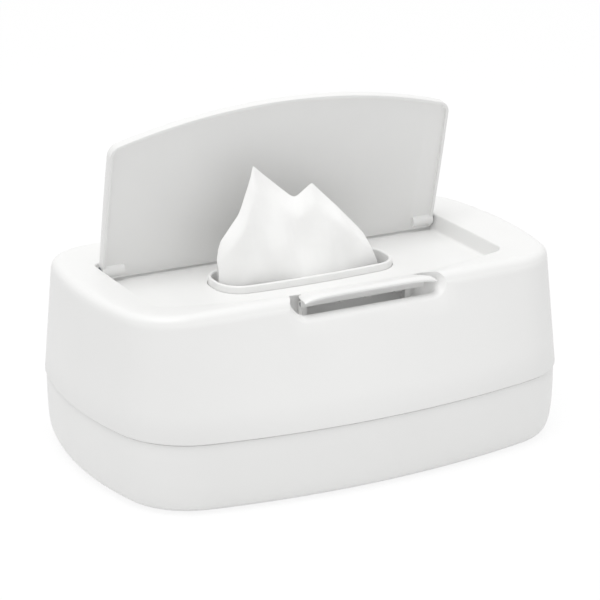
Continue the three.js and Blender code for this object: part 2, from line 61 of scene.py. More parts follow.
def applyModifier(piece, kind, **settings):
    pickOnly(piece)
    modifier = piece.modifiers.new(kind.lower(), kind)
    for key, value in settings.items():
        setattr(modifier, key, value)
    bpy.ops.object.modifier_apply(modifier=modifier.name)


def cutWith(piece, tool, operation="DIFFERENCE"):
    applyModifier(piece, "BOOLEAN", object=tool, operation=operation, solver="EXACT")
    bpy.data.objects.remove(tool)


def placeVertices(piece, indices, points):
    for index, point in zip(indices, points):
        piece.data.vertices[index].co = Vector(point) * mm


# a circle is extruded ring by ring, and each new ring is moved to its own outline
def loftRings(name, rings, joined=False):
    count = len(rings[0])
    clearSelection()
    bpy.ops.mesh.primitive_circle_add(vertices=count, radius=0.1, fill_type="NOTHING")
    piece = bpy.context.object
    piece.name = name
    piece.data.name = name
    order = list(range(count))
    placeVertices(piece, order, rings[0])
    for ring in rings[1:]:
        seat = {tuple(piece.data.vertices[index].co): spot for spot, index in enumerate(order)}
        bpy.ops.object.mode_set(mode="EDIT")
        bpy.ops.mesh.extrude_region_move(TRANSFORM_OT_translate={"value": (0, 0, 0)})
        bpy.ops.object.mode_set(mode="OBJECT")
        fresh = [v.index for v in piece.data.vertices if v.select]
        order = [None] * count
        for index in fresh:
            order[seat[tuple(piece.data.vertices[index].co)]] = index
        placeVertices(piece, order, ring)
    if joined:
        selectVertices(piece, list(range(count)) + order)
        bpy.ops.object.mode_set(mode="EDIT")
        bpy.ops.mesh.bridge_edge_loops()
    else:
        bpy.ops.object.mode_set(mode="EDIT")
        bpy.ops.mesh.edge_face_add()  # caps the last ring
        selectVertices(piece, list(range(count)))
        bpy.ops.object.mode_set(mode="EDIT")
        bpy.ops.mesh.edge_face_add()  # and the first
    bpy.ops.mesh.select_all(action="SELECT")
    bpy.ops.mesh.normals_make_consistent(inside=False)
    bpy.ops.object.mode_set(mode="OBJECT")
    return piece


def selectVertices(piece, indices):
    bpy.ops.object.mode_set(mode="EDIT")
    bpy.ops.mesh.select_mode(type="VERT")
    bpy.ops.mesh.select_all(action="DESELECT")
    bpy.ops.object.mode_set(mode="OBJECT")
    for index in indices:
        piece.data.vertices[index].select = True


def smoothShade(piece, degrees=30):
    pickOnly(piece)
    bpy.ops.object.shade_smooth_by_angle(angle=math.radians(degrees))


def rodAlongX(radius, length, place, sides=32):
    clearSelection()
    bpy.ops.mesh.primitive_cylinder_add(vertices=sides, radius=radius * mm, depth=length * mm,
                                        location=[p * mm for p in place],
                                        rotation=(0, math.pi / 2, 0))
    return bpy.context.object


def beveledBox(low, high, width=0):
    clearSelection()
    middle = [(a + b) / 2 * mm for a, b in zip(low, high)]
    bpy.ops.mesh.primitive_cube_add(size=1, location=middle)
    box = bpy.context.object
    box.scale = [(b - a) * mm for a, b in zip(low, high)]
    bpy.ops.object.transform_apply(location=True, rotation=True, scale=True)
    if width:
        applyModifier(box, "BEVEL", width=width * mm, segments=4)
    return box


def dress(piece, material, body, slot, *nodes):
    piece.data.materials.clear()
    piece.data.materials.append(material)
    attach(piece, body)
    if nodes:
        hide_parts(*nodes)


# plan outlines, in millimetres, counter-clockwise from the middle of the front
def arcPoints(centreX, centreY, radius, start, end, steps):
    turns = [start + (end - start) * i / steps for i in range(steps)]
    return [(centreX + radius * math.cos(t), centreY + radius * math.sin(t)) for t in turns]


# a shallow side arc, a corner arc tangent to both, and a shallow end arc
def quarterOutline(halfLength, side, endRadius, grow):
    depth, sideRadius = side["depth"] + grow, side["radius"] + grow
    corner = max(side["corner"] + grow, 0.5)
    halfLength, endRadius = halfLength + grow, endRadius + grow
    sideY, endX = sideRadius - depth, halfLength - endRadius
    sideReach, endReach = sideRadius - corner, endRadius - corner
    gap = math.hypot(endX, sideY)
    unitX, unitY = endX / gap, -sideY / gap
    along = (sideReach ** 2 - endReach ** 2 + gap ** 2) / (2 * gap)
    across = math.sqrt(sideReach ** 2 - along ** 2)
    cornerX = unitX * along - unitY * across
    cornerY = sideY + unitY * along + unitX * across
    sideEnd = math.atan2(cornerY - sideY, cornerX)
    endStart = math.atan2(cornerY, cornerX - endX)
    return (arcPoints(0, sideY, sideRadius, -math.pi / 2, sideEnd, 14)
            + arcPoints(cornerX, cornerY, corner, sideEnd, endStart, 14)
            + arcPoints(endX, 0, endRadius, endStart, 0, 8)
            + [(halfLength, 0)])


def bowedOutline(form, grow=0.0):
    front = quarterOutline(form["halfLength"], form["front"], form["endRadius"], grow)
    rear = quarterOutline(form["halfLength"], form["rear"], form["endRadius"], grow)
    right = front + [(x, -y) for x, y in reversed(rear[:-1])]
    left = [(-x, y) for x, y in reversed(right[1:-1])]
    return right + left


def ringAt(outline, z):
    return [(x, y, z) for x, y in outline]


def mixed(first, second, share):
    return [tuple(a + (b - a) * share for a, b in zip(p, q)) for p, q in zip(first, second)]


def eased(value, start, end):
    share = min(max((value - start) / (end - start), 0), 1)
    return share * share * (3 - 2 * share)


def sameSides(halfLength, depth, radius, corner, endRadius):
    side = {"depth": depth, "radius": radius, "corner": corner}
    return {"halfLength": halfLength, "front": side, "rear": side, "endRadius": endRadius}


# sRGB hex to the linear colour that the shader takes
def linear(code):
    parts = [int(code[i:i + 2], 16) / 255 for i in (1, 3, 5)]
    return tuple(c / 12.92 if c <= 0.04045 else ((c + 0.055) / 1.055) ** 2.4 for c in parts) + (1,)


def addNode(tree, kind, inputs=None, links=None, **settings):
    node = tree.nodes.new(kind)
    for key, value in settings.items():
        setattr(node, key, value)
    for key, value in (inputs or {}).items():
        node.inputs[key].default_value = value
    for key, socket in (links or {}).items():
        tree.links.new(socket, node.inputs[key])
    return node


def emptyMaterial(name):
    material = bpy.data.materials.new(name)
    material.use_nodes = True
    material.node_tree.nodes.clear()
    return material, material.node_tree


# polypropylene from a fine-etched mould: even, satin, with a broad soft highlight
def mouldedPlastic(name, look):
    material, tree = emptyMaterial(name)
    place = addNode(tree, "ShaderNodeTexCoord").outputs["Object"]
    flow = addNode(tree, "ShaderNodeTexNoise",
                   {"Scale": 1 / (look["flowSize"] * mm), "Detail": 2}, {"Vector": place})
    grain = addNode(tree, "ShaderNodeTexNoise",
                    {"Scale": 1 / (look["grainSize"] * mm), "Detail": 3}, {"Vector": place})
    shade = addNode(tree, "ShaderNodeMix",  # sockets 6 and 7 are its two colours
                    {6: linear(look["colour"]), 7: linear(look["thinColour"])},
                    {0: flow.outputs["Fac"]}, data_type="RGBA")
    spread = 0.04
    gloss = addNode(tree, "ShaderNodeMapRange",
                    {"To Min": look["roughness"] - spread, "To Max": look["roughness"] + spread},
                    {"Value": grain.outputs["Fac"]})
    relief = addNode(tree, "ShaderNodeBump",
                     {"Strength": look["relief"], "Distance": 0.03 * mm},
                     {"Height": grain.outputs["Fac"]})
    surface = addNode(tree, "ShaderNodeBsdfPrincipled", {"IOR": 1.49, "Metallic": 0},
                      {"Base Color": shade.outputs[2], "Roughness": gloss.outputs["Result"],
                       "Normal": relief.outputs["Normal"]})
    surface.inputs["Specular IOR Level"].default_value = 0.45
    addNode(tree, "ShaderNodeOutputMaterial", links={"Surface": surface.outputs["BSDF"]})
    return material


# entangled fibres: matt and a little woolly, with a loose crisscross
def spunlaceCloth(name, look):
    material, tree = emptyMaterial(name)
    place = addNode(tree, "ShaderNodeTexCoord").outputs["Object"]
    fibres = addNode(tree, "ShaderNodeTexNoise",
                     {"Scale": 1 / (look["fibreSize"] * mm), "Detail": 5, "Distortion": 1.2},
                     {"Vector": place})
    clumps = addNode(tree, "ShaderNodeTexNoise",
                     {"Scale": 1 / (look["clumpSize"] * mm), "Detail": 2}, {"Vector": place})
    shade = addNode(tree, "ShaderNodeMix",
                    {6: linear(look["colour"]), 7: linear(look["thinColour"])},
                    {0: clumps.outputs["Fac"]}, data_type="RGBA")
    relief = addNode(tree, "ShaderNodeBump",
                     {"Strength": look["relief"], "Distance": 0.15 * mm},
                     {"Height": fibres.outputs["Fac"]})
    surface = addNode(tree, "ShaderNodeBsdfPrincipled",
                      {"Roughness": 0.9, "Sheen Weight": 0.25, "Sheen Roughness": 0.5},
                      {"Base Color": shade.outputs[2], "Normal": relief.outputs["Normal"]})
    surface.inputs["Specular IOR Level"].default_value = 0.2
    addNode(tree, "ShaderNodeOutputMaterial", links={"Surface": surface.outputs["BSDF"]})
    return material


# spring wire: bright, with fine lines from the drawing die
def drawnSteel(name, look):
    material, tree = emptyMaterial(name)
    place = addNode(tree, "ShaderNodeTexCoord").outputs["Object"]
    stretch = addNode(tree, "ShaderNodeMapping", {"Scale": (0.05, 1, 1)}, {"Vector": place})
    lines = addNode(tree, "ShaderNodeTexNoise",
                    {"Scale": 1 / (look["lineSize"] * mm), "Detail": 2},
                    {"Vector": stretch.outputs["Vector"]})
    shade = addNode(tree, "ShaderNodeMix",
                    {6: linear(look["colour"]), 7: linear(look["lineColour"])},
                    {0: lines.outputs["Fac"]}, data_type="RGBA")
    gloss = addNode(tree, "ShaderNodeMapRange", {"To Min": 0.22, "To Max": 0.36},
                    {"Value": lines.outputs["Fac"]})
    surface = addNode(tree, "ShaderNodeBsdfPrincipled", {"Metallic": 1},
                      {"Base Color": shade.outputs[2], "Roughness": gloss.outputs["Result"]})
    addNode(tree, "ShaderNodeOutputMaterial", links={"Surface": surface.outputs["BSDF"]})
    return material


shellPlastic = mouldedPlastic("moulded white polypropylene, shell", {
    "colour": "#f0f0ef", "thinColour": "#ededec", "flowSize": 30, "grainSize": 0.8,
    "roughness": 0.42, "relief": 0.12})
lidPlastic = mouldedPlastic("moulded white polypropylene, lid", {
    "colour": "#eeeeed", "thinColour": "#ebebea", "flowSize": 30, "grainSize": 0.8,
    "roughness": 0.4, "relief": 0.1})
collarPlastic = mouldedPlastic("moulded white polypropylene, collar", {
    "colour": "#f1f1f0", "thinColour": "#eeeeed", "flowSize": 20, "grainSize": 0.8,
    "roughness": 0.4, "relief": 0.1})
paddlePlastic = mouldedPlastic("moulded white polypropylene, paddle", {
    "colour": "#f0f0ef", "thinColour": "#ececeb", "flowSize": 20, "grainSize": 0.8,
    "roughness": 0.38, "relief": 0.1})
footRubber = mouldedPlastic("moulded pale elastomer, feet", {
    "colour": "#dcdcd9", "thinColour": "#d2d2cf", "flowSize": 6, "grainSize": 0.6,
    "roughness": 0.75, "relief": 0.4})
wipeCloth = spunlaceCloth("spunlace wipe, moist", {
    "colour": "#fefefd", "thinColour": "#fafaf9", "fibreSize": 0.7, "clumpSize": 5,
    "relief": 0.3})
springSteel = drawnSteel("drawn spring steel", {
    "colour": "#c3c6c9", "lineColour": "#a9adb1", "lineSize": 0.3})
print("materials made")


# the box's main outlines, heights, walls and hinge pins
seam = sameSides(120, 81.9, 415, 39, 182)
brow = sameSides(115.3, 61.5, 3000, 26, 184)  # the upper edge's outline
levels = {"foot": 1.0, "seam": 35.3, "top": 91.5, "shoulder": 88.8, "floor": 80.6}
wall = {"shell": 2.2, "tray": 2.4}
lidPin = {"y": 31.4, "z": 86.4, "bore": 1.28}
paddlePin = {"y": -52.6, "z": 85.5, "bore": 1.08}


def shellSide(grow, z):
    share = (z - levels["seam"]) / (levels["top"] - levels["seam"])
    return ringAt(mixed(bowedOutline(seam, grow), bowedOutline(brow, grow), share), z)


tray = {"step": 0.7, "round": 8.6, "power": 3.7, "gap": 0.4, "lipOut": 2.8, "lipIn": 4.4,
        "lipHeight": 5, "edge": 0.4, "edgeStart": 0.12, "innerEdge": 0.3}


def makeTray():
    rim = levels["seam"] - tray["gap"]
    power = 2 / tray["power"]  # of the rounded corner under the wall
    soft, lipOut, lipIn = tray["edge"], tray["lipOut"], tray["lipIn"]
    rings = []
    for i in range(19):
        turn = math.pi / 2 * (1 - i / 18)
        inset = tray["step"] + tray["round"] * (1 - max(math.cos(turn), 0) ** power)
        z = levels["foot"] + (rim - soft - levels["foot"]) * (1 - math.sin(turn) ** power)
        rings.append(ringAt(bowedOutline(seam, -inset), z))
    rings.append(ringAt(bowedOutline(seam, -tray["step"] - tray["edgeStart"]),
                        rim - tray["edgeStart"]))
    rings.append(ringAt(bowedOutline(seam, -tray["step"] - soft), rim))
    lipTop = rim + tray["lipHeight"]  # the lip that the shell sits around
    rings.append(shellSide(-lipOut, rim))
    rings.append(shellSide(-lipOut, lipTop - soft))
    rings.append(shellSide(-lipOut - soft, lipTop))
    rings.append(shellSide(-lipIn + tray["innerEdge"], lipTop))
    rings.append(shellSide(-lipIn, lipTop - tray["innerEdge"]))
    wallFoot = rim - tray["lipHeight"]
    rings.append(ringAt(bowedOutline(seam, -lipIn), wallFoot))
    floorTop = levels["foot"] + wall["tray"]
    for i in range(1, 13):
        turn = math.pi / 2 * i / 12
        inset = lipIn + tray["round"] * (1 - math.cos(turn) ** power if i < 12 else 1)
        z = floorTop + (wallFoot - floorTop) * (1 - math.sin(turn) ** power)
        rings.append(ringAt(bowedOutline(seam, -inset), z))
    piece = loftRings("tray_body", rings)
    smoothShade(piece)
    dress(piece, shellPlastic, "base", "white_shell", "base_tray")


makeTray()
print("tray made")


edge = {"round": 4, "recessRound": 0.9, "floorRound": 1.2, "draft": 0.8, "seam": 0.4,
        "seamStart": 0.12, "spare": 1.5, "cutBelow": 3}
recess = {"halfLength": 92, "endRadius": 2600,
          "front": {"depth": 48.9, "radius": 304, "corner": 8},
          "rear": {"depth": 37.6, "radius": 4000, "corner": 4}}
scoop = {"rearHalf": 33, "frontHalf": 39.5, "rear": -48.3, "front": -61.5, "floor": 83,
         "deep": 77.5, "deepShare": 0.45, "middle": 2.5, "corner": 7, "lip": 4, "wall": 2,
         "slope": 0.363, "above": 6, "before": 12}
collar = sameSides(45, 15, 400, 11, 60)
collarRim = {"wall": 1.8, "gap": 0.3, "flange": 2.4, "plate": 1.2, "rise": 3.6, "round": 0.9,
             "cut": 6}
ear = {"x": 27.05, "width": 2.5, "depth": 3.4, "foot": 76.5, "radius": 1.7}
pinHole = {"x": 93.5, "length": 9}  # in the recess's end walls


def shellOutside():
    seamTop = levels["seam"] + edge["seam"]
    rings = [shellSide(-edge["seam"], levels["seam"]),
             shellSide(-edge["seamStart"], levels["seam"] + edge["seamStart"]),
             shellSide(0, seamTop)]
    sideTop = levels["top"] - edge["round"] - edge["spare"]
    for i in range(1, 5):
        rings.append(shellSide(0, seamTop + (sideTop - seamTop) * i / 4))
    for i in range(0, 11):
        turn = math.pi / 2 * i / 10
        inset = edge["round"] * (1 - math.cos(turn))
        z = levels["top"] - edge["round"] * (1 - math.sin(turn))
        side = shellSide(0, z)
        top = ringAt(bowedOutline(brow, -inset), z)
        rings.append(mixed(side, top, math.sin(turn) ** 0.5 if i else 0.0))
    topRing = rings[-1]
    recessRing = ringAt(bowedOutline(recess, edge["recessRound"]), levels["shoulder"])
    for i in range(1, 8):
        share = i / 8
        ring = mixed(topRing, recessRing, share)
        sink = levels["top"] - (levels["top"] - levels["shoulder"]) * share ** 1.35
        rings.append([(x, y, sink) for x, y, _ in ring])
    for i in range(0, 6):
        turn = math.pi / 2 * i / 5
        grow = edge["recessRound"] * (1 - math.sin(turn))
        z = levels["shoulder"] - edge["recessRound"] * (1 - math.cos(turn))
        rings.append(ringAt(bowedOutline(recess, grow), z))
    for i in range(0, 6):
        turn = math.pi / 2 * i / 5
        inset = edge["draft"] + edge["floorRound"] * (1 - math.cos(turn))
        z = levels["floor"] + edge["floorRound"] * (1 - math.sin(turn))
        rings.append(ringAt(bowedOutline(recess, -inset), z))
    return loftRings("shell_body", rings)


def shellHollow():
    thick = wall["shell"]
    upper = levels["top"] - thick - edge["round"] / 2
    rings = [shellSide(-thick, levels["seam"] - edge["cutBelow"]), shellSide(-thick, upper)]
    cap = shellSide(-thick - edge["round"] / 2, levels["top"])
    rings.append([(x, y, levels["top"] - thick) for x, y, _ in cap])
    rings.append(ringAt(bowedOutline(recess, thick), levels["shoulder"] - thick))
    rings.append(ringAt(bowedOutline(recess, thick), levels["floor"] - thick))
    return loftRings("hollow", rings)


def scoopHalf(y, extra):
    share = min(max((scoop["rear"] - y) / (scoop["rear"] - scoop["front"]), 0), 1)
    widening = math.sin(share * math.pi / 2) ** 0.8
    return scoop["rearHalf"] + (scoop["frontHalf"] - scoop["rearHalf"]) * widening + extra


# a trough with rounded lower corners, whose plane leans with the front face
def scoopSection(half, bottom, corner, y, lean):
    top, rise = levels["top"] + scoop["above"], bottom + corner
    points = [(-half, top)]
    points += arcPoints(-half + corner, rise, corner, math.pi, 1.5 * math.pi, 10)
    points += arcPoints(half - corner, rise, corner, 1.5 * math.pi, 2 * math.pi, 10)
    points += [(half, rise), (half, top)]
    section = []
    for x, z in points:
        drop = levels["top"] - min(z, levels["top"])
        section.append((x + scoop["middle"], y - lean * scoop["slope"] * drop, z))
    return section


def scoopCutter():
    rings = []
    rear, face, lip = scoop["rear"], scoop["front"], scoop["lip"]
    floor, corner = scoop["floor"], scoop["corner"]
    start = face + lip
    for i in range(12):
        share = (i / 11) ** 1.6
        y = rear + (start - rear) * share
        half = scoopHalf(y, 0)
        bottom = scoop["deep"] + (floor - scoop["deep"]) * eased(share, scoop["deepShare"], 1)
        rings.append(scoopSection(half, bottom, corner, y, share))
    for i in range(1, 11):
        turn = math.pi / 2 * i / 10
        extra = lip * (1 - math.cos(turn))
        y = start - lip * math.sin(turn)
        rings.append(scoopSection(scoopHalf(y, extra), floor - extra, corner + extra, y, 1))
    far, slack = scoopHalf(face, lip), 0.05
    rings.append(scoopSection(far + slack, floor - lip - slack, corner + lip,
                              face - scoop["before"], 1))
    return loftRings("scoop_cutter", rings)


# the bowl's own wall, kept out of the hollow
def scoopTub():
    thick = scoop["wall"]
    start, end = scoop["rear"] + thick, scoop["front"] - scoop["before"]
    rings = []
    for i in range(12):
        share = i / 11
        y = start + (end - start) * share
        rings.append(scoopSection(scoopHalf(y, thick), scoop["deep"] - thick,
                                  scoop["corner"] + thick, y, 0))
    return loftRings("scoop_tub", rings)


# a lug on the bowl's floor, bored for the paddle's pin
def addEar(piece, side):
    x, y, z = side * ear["x"], paddlePin["y"], paddlePin["z"]
    lug = beveledBox((x - ear["width"] / 2, y - ear["depth"] / 2, ear["foot"]),
                     (x + ear["width"] / 2, y + ear["depth"] / 2, z))
    cutWith(lug, rodAlongX(ear["radius"], ear["width"], (x, y, z)), "UNION")
    cutWith(lug, rodAlongX(paddlePin["bore"], 2.4 * ear["width"], (x, y, z)))
    cutWith(piece, lug, "UNION")


def makeShell():
    piece = shellOutside()
    hollow = shellHollow()
    cutWith(hollow, scoopTub())
    cutWith(piece, hollow)
    cutWith(piece, scoopCutter())
    hole = bowedOutline(collar, collarRim["wall"] + collarRim["gap"])
    ends = [ringAt(hole, levels["floor"] + side * collarRim["cut"]) for side in (-1, 1)]
    cutWith(piece, loftRings("hole", ends))
    for side in (-1, 1):
        place = (side * pinHole["x"], lidPin["y"], lidPin["z"])
        cutWith(piece, rodAlongX(lidPin["bore"], pinHole["length"], place))
        addEar(piece, side)
    smoothShade(piece, 32)
    dress(piece, shellPlastic, "upper", "white_shell", "top_shell")


makeShell()
print("upper shell made")


def makeCollar():
    thick, low, tip = collarRim["wall"], collarRim["plate"], collarRim["round"]
    under = levels["floor"] - wall["shell"] - collarRim["gap"]
    top = levels["floor"] + collarRim["rise"]
    flange = thick + collarRim["flange"]
    section = [(0, under - low), (flange, under - low), (flange, under), (thick, under)]
    for i in range(0, 9):
        turn = math.pi * i / 8
        section.append((thick / 2 * (1 + math.cos(turn)), top - tip + tip * math.sin(turn)))
    rings = [ringAt(bowedOutline(collar, out), z) for out, z in section]
    piece = loftRings("collar_rim", rings, joined=True)
    smoothShade(piece)
    dress(piece, collarPlastic, "upper", "white_collar", "dispensing_collar")


makeCollar()
print("collar made")


lid = {"depth": 4.8, "skin": 3.4, "rim": 1.6, "cove": 1.0, "edge": 1.1, "innerEdge": 0.35,
       "bevel": 0.25, "open": 77.2, "openRear": 6, "pocket": 3.6, "pocketRadius": 2,
       "bossRadius": 2.8, "bossDrop": 0.55, "bossLength": 8, "blindEnd": 1.5, "endGap": 0.3}
lidForm = {"halfLength": 90.5, "endRadius": 2598.5,
           "front": {"depth": 47.4, "radius": 302.5, "corner": 6.5},
           "rear": {"depth": 36.1, "radius": 3998.5, "corner": 2.5}}
spring = {"wire": 0.3, "lidRadius": 1.62, "lidTurns": 4, "lidLength": 2.9, "lidX": 89.05,
          "paddleRadius": 1.35, "paddleTurns": 8, "paddleLength": 7.4}


# one round section spun into a coil with the screw modifier
def makeSpring(name, place, radius, turns, length, node):
    clearSelection()
    bpy.ops.mesh.primitive_circle_add(vertices=12, radius=spring["wire"] * mm, fill_type="NOTHING",
                                      location=(radius * mm, 0, 0), rotation=(math.pi / 2, 0, 0))
    coil = bpy.context.object
    coil.name = name
    bpy.ops.object.transform_apply(location=True, rotation=True, scale=True)
    steps = 24 * turns
    applyModifier(coil, "SCREW", axis="Z", angle=2 * math.pi * turns, screw_offset=length * mm,
                  iterations=1, steps=steps, render_steps=steps, use_normal_calculate=True)
    bpy.ops.object.mode_set(mode="EDIT")
    bpy.ops.mesh.select_all(action="SELECT")
    bpy.ops.mesh.remove_doubles(threshold=1e-7)
    bpy.ops.mesh.select_all(action="DESELECT")
    bpy.ops.mesh.select_non_manifold()
    bpy.ops.mesh.fill_holes(sides=12)
    bpy.ops.mesh.select_all(action="SELECT")
    bpy.ops.mesh.normals_make_consistent(inside=False)
    bpy.ops.object.mode_set(mode="OBJECT")
    alongX = Matrix.Rotation(math.pi / 2, 4, "Y")
    coil.matrix_world = (Matrix.Translation(Vector(place) * mm) @ alongX
                         @ Matrix.Translation((0, 0, -length / 2 * mm)))
    bpy.ops.object.transform_apply(location=True, rotation=True, scale=True)
    smoothShade(coil, 60)
    dress(coil, springSteel, "upper", "spring_steel", node)


# shallow, with a cove along its sides, and open at the hinge side
def lidHollow(top, bottom):
    depth = lidForm["rear"]["depth"] + lid["openRear"]
    form = dict(lidForm, rear=dict(lidForm["rear"], depth=depth))
    ceiling = top - lid["skin"]
    rings = [ringAt(bowedOutline(form, -lid["rim"]), bottom - 2)]
    for i in range(0, 7):
        turn = math.pi / 2 * i / 6
        inset = lid["rim"] + lid["cove"] * (1 - math.cos(turn))
        z = ceiling - lid["cove"] * (1 - math.sin(turn))
        rings.append(ringAt(bowedOutline(form, -inset), z))
    return loftRings("lid_hollow", rings)


def makeLid():
    top, bottom = levels["shoulder"], levels["shoulder"] - lid["depth"]
    rings = []
    for i in range(0, 7):
        turn = math.pi / 2 * i / 6
        inset = lid["edge"] * (1 - math.sin(turn))
        z = top - lid["edge"] * (1 - math.cos(turn))
        rings.append(ringAt(bowedOutline(lidForm, -inset), z))
    for inset, rise in ((0, lid["innerEdge"]), (0.1, 0.1), (lid["innerEdge"], 0)):
        rings.append(ringAt(bowedOutline(lidForm, -inset), bottom + rise))
    piece = loftRings("lid_panel", rings)
    cutWith(piece, lidHollow(top, bottom))
    applyModifier(piece, "BEVEL", width=lid["bevel"] * mm, segments=2, limit_method="ANGLE",
                  angle_limit=math.radians(50))
    half = lidForm["halfLength"]
    inner = half - lid["pocket"]  # the pocket holds the spring, and the blind bore the pin
    bossStart = inner - lid["bossLength"]
    for side in (-1, 1):
        for radius, drop, start, end, how in (
                (lid["bossRadius"], lid["bossDrop"], bossStart, half - lid["endGap"], "UNION"),
                (lidPin["bore"], 0, bossStart + lid["blindEnd"], inner + 1, "DIFFERENCE"),
                (lid["pocketRadius"], 0, inner, half + 3, "DIFFERENCE")):
            place = (side * (start + end) / 2, lidPin["y"], lidPin["z"] - drop)
            cutWith(piece, rodAlongX(radius, end - start, place, 48), how)
    axis = Matrix.Translation((0, lidPin["y"] * mm, lidPin["z"] * mm))
    pickOnly(piece)
    swing = Matrix.Rotation(-math.radians(lid["open"]), 4, "X")
    piece.matrix_world = axis @ swing @ axis.inverted()
    bpy.ops.object.transform_apply(location=True, rotation=True, scale=True)
    smoothShade(piece, 32)
    dress(piece, lidPlastic, "lid", "white_lid", "lid")


makeLid()
for side, word in ((-1, "left"), (1, "right")):
    makeSpring("lid_coil_" + word, (side * spring["lidX"], lidPin["y"], lidPin["z"]),
               spring["lidRadius"], spring["lidTurns"], spring["lidLength"],
               "lid_spring_" + word)
print("lid made")


paddle = {"rear": -48.6, "front": -63.5, "rearHalf": 30, "frontHalf": 34.5, "thick": 2.2,
          "rise": 0.6, "lift": 3.9, "middle": 3, "endDrop": 1.6, "barrel": 1.9,
          "noseStart": 0.8, "tailEnd": 0.06, "endStart": 0.955,
          "knuckles": ((-22.5, 4), (-6.6, 3.4), (6.6, 3.4), (22.5, 4)),
          "ribLow": (-29.4, -55.7, 85), "ribHigh": (35, -54.9, 90)}


def paddleSection(share):
    y = paddle["rear"] + (paddle["front"] - paddle["rear"]) * share
    widening = (paddle["frontHalf"] - paddle["rearHalf"]) * math.sin(share * math.pi / 2)
    half = paddle["rearHalf"] + widening
    crown = levels["shoulder"] + paddle["rise"] + paddle["lift"] * share
    nose = max(0.0, (share - paddle["noseStart"]) / (1 - paddle["noseStart"]))
    tail = max(0.0, 1 - share / paddle["tailEnd"])
    thick = paddle["thick"] * math.sqrt(max(1 - nose ** 2.2 * 0.9, 0.02)) * (1 - 0.25 * tail)
    crown -= nose ** 2 * paddle["thick"] * 0.5 + 0.25 * tail
    steps = 30
    upper, lower = [], []
    for i in range(steps + 1):
        u = -1 + 2 * i / steps
        bend = paddle["endDrop"] * abs(u) ** 6 * share
        past = max(0.0, (abs(u) - paddle["endStart"]) / (1 - paddle["endStart"]))
        reach = thick / 2 * math.sqrt(max(1 - past ** 2, 0.0))
        x, middle = half * u + paddle["middle"], crown - paddle["thick"] / 2 - bend
        upper.append((x, y, middle + reach + (paddle["thick"] - thick) * 0.1))
        lower.append((x, y, middle - reach - 0.001))
    return upper + lower[::-1]


def makePaddle():
    shares = [0, 0.02, 0.06, 0.15, 0.3, 0.45, 0.6, 0.72, 0.8, 0.86, 0.91, 0.95, 0.98, 1]
    piece = loftRings("paddle_plate", [paddleSection(share) for share in shares])
    y, z, reach = paddlePin["y"], paddlePin["z"], paddle["barrel"]
    for middle, span in paddle["knuckles"]:
        knuckle = rodAlongX(reach, span, (middle, y, z), 40)
        web = beveledBox((middle - span / 2, y - reach, z),
                         (middle + span / 2, y + reach, levels["shoulder"]))
        cutWith(knuckle, web, "UNION")
        cutWith(piece, knuckle, "UNION")
    rib = beveledBox(paddle["ribLow"], paddle["ribHigh"], 0.25)  # it hides the pin
    cutWith(piece, rib, "UNION")
    cutWith(piece, rodAlongX(paddlePin["bore"], 60, (0, y, z)))
    smoothShade(piece, 35)
    dress(piece, paddlePlastic, "paddle", "white_paddle", "press_paddle")


makePaddle()
makeSpring("paddle_coil", (0, paddlePin["y"], paddlePin["z"]), spring["paddleRadius"],
           spring["paddleTurns"], spring["paddleLength"], "paddle_spring")
print("paddle made")


pile = {"halfLength": 95, "halfDepth": 52, "corner": 7, "bottom": 3.7, "height": 50,
        "layers": 16, "bulge": ((0.02, 1.3), (0.2, 0.5), (0.5, 0.2), (0.8, 0.5), (0.98, 1.3))}


def roundedBox(inset):
    x, y, r = pile["halfLength"] - inset, pile["halfDepth"] - inset, pile["corner"] - inset * 0.5
    middles = ((x - r, -y + r), (x - r, y - r), (-x + r, y - r), (-x + r, -y + r))
    ring = []
    for turn, (cx, cy) in enumerate(middles):
        begin = math.radians(90 * (turn - 1))
        end = begin + math.pi / 2
        ring += arcPoints(cx, cy, r, begin, end, 8)
        ring.append((cx + r * math.cos(end), cy + r * math.sin(end)))
    return ring


# folded wipes: every layer bulges a little at its folded edge
def makePile():
    rings = []
    layer = pile["height"] / pile["layers"]
    for k in range(pile["layers"]):
        slack = 0.5 + 0.4 * math.sin(k * 2.1)
        for share, inset in pile["bulge"]:
            z = pile["bottom"] + layer * (k + share)
            rings.append(ringAt(roundedBox(inset + slack), z))
    rings.append(ringAt(roundedBox(4), pile["bottom"] + pile["height"]))
    piece = loftRings("folded_wipes", rings)
    smoothShade(piece, 60)
    dress(piece, wipeCloth, "base", "wipe_cloth", "wipe_stack")


wipe = {"foot": 54.2, "neckHalf": 27, "fanHalf": 43.6, "neckThick": 4.2, "frontThick": 12.0,
        "rearThick": 8.0, "crestThick": 0.9, "across": 96, "up": 110, "sheet": 0.3,
        "peak": 137.6, "peakX": -25.4, "second": 125.4, "secondX": 5.2, "steep": 3.05,
        "soft": 0.87, "rise": 0.75, "slack": 1.0, "leftX": -40.1, "leftZ": 105.3,
        "leftSlope": 1.38, "leftDrop": 5.5, "rightX": 36.6, "rightZ": 92.5, "rightDrop": 2.6,
        "foldHeights": (1.5, 0.7, 0.25), "flutter": 0.5, "keep": 0.35}


def softMax(values, blend=1.2):
    top = max(values)
    return top + blend * math.log(sum(math.exp((v - top) / blend) for v in values))


